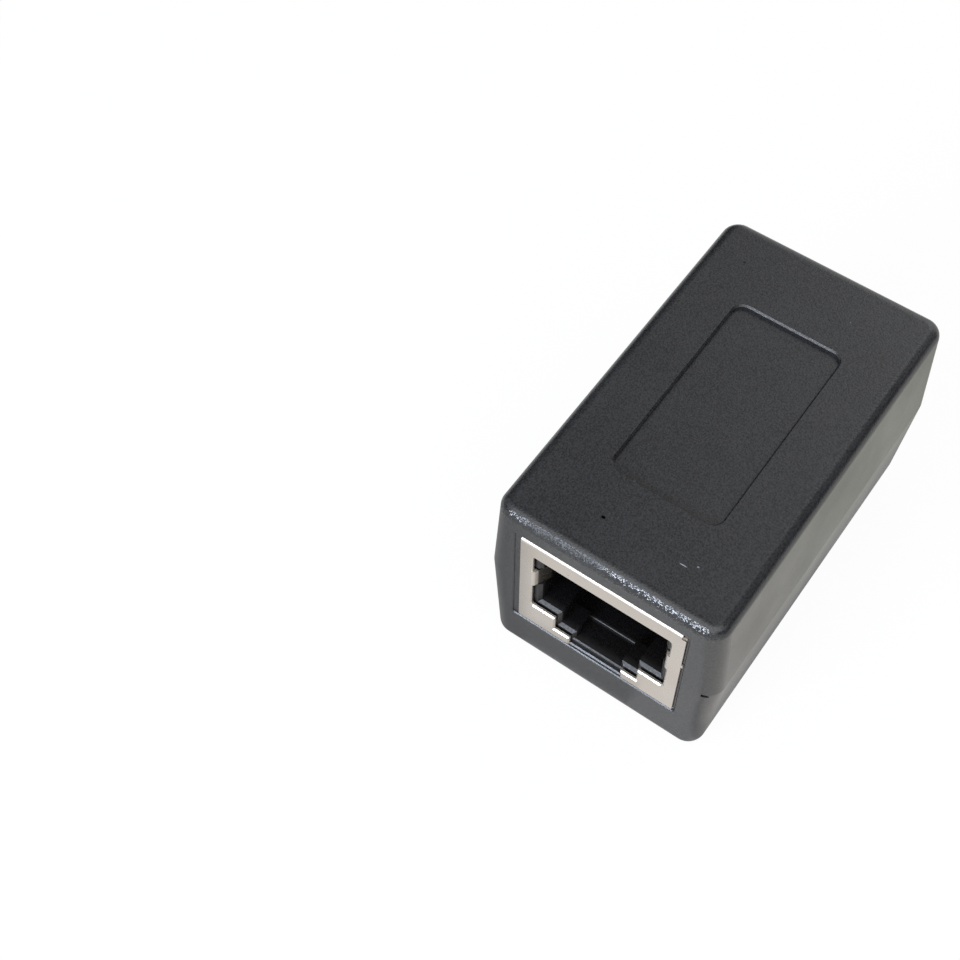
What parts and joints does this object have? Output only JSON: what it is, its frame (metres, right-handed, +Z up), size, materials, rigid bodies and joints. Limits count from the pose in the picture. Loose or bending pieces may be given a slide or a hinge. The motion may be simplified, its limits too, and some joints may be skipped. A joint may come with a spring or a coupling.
{
  "type": "inline network coupler",
  "caption": "Block-shaped in-line coupler that joins two network cables, with a metal-shielded latching port in each end of a dark moulded housing.",
  "frame": {"origin": "middle of the underside", "axes": "+X across, +Y from the front port to the rear port, +Z up towards the label panel"},
  "size_m": [0.0226, 0.0372, 0.0213],
  "materials": {
    "housing_plastic": "dark grey moulded plastic with a fine spark-eroded grain",
    "shield_sheet": "satin nickel-plated sheet, bright at folds and cut edges",
    "insert_plastic": "smooth black moulded plastic",
    "carrier_plastic": "black moulded plastic",
    "contact_gilt": "gilt spring wire",
    "board_laminate": "green glass laminate",
    "solder": "dull solder"
  },
  "bodies": {
    "root": {"housing": "housing_plastic", "circuit_board": "board_laminate", "front_shield": "shield_sheet", "front_jack_insert": "insert_plastic", "front_contact_carrier": "carrier_plastic", "front_solder_joints": "solder", "rear_shield": "shield_sheet", "rear_jack_insert": "insert_plastic", "rear_contact_carrier": "carrier_plastic", "rear_solder_joints": "solder", "front_contact_1": "contact_gilt", "front_contact_2": "contact_gilt", "front_contact_3": "contact_gilt", "front_contact_4": "contact_gilt", "front_contact_5": "contact_gilt", "front_contact_6": "contact_gilt", "front_contact_7": "contact_gilt", "front_contact_8": "contact_gilt", "rear_contact_1": "contact_gilt", "rear_contact_2": "contact_gilt", "rear_contact_3": "contact_gilt", "rear_contact_4": "contact_gilt", "rear_contact_5": "contact_gilt", "rear_contact_6": "contact_gilt", "rear_contact_7": "contact_gilt", "rear_contact_8": "contact_gilt"}
  },
  "joints": []
}
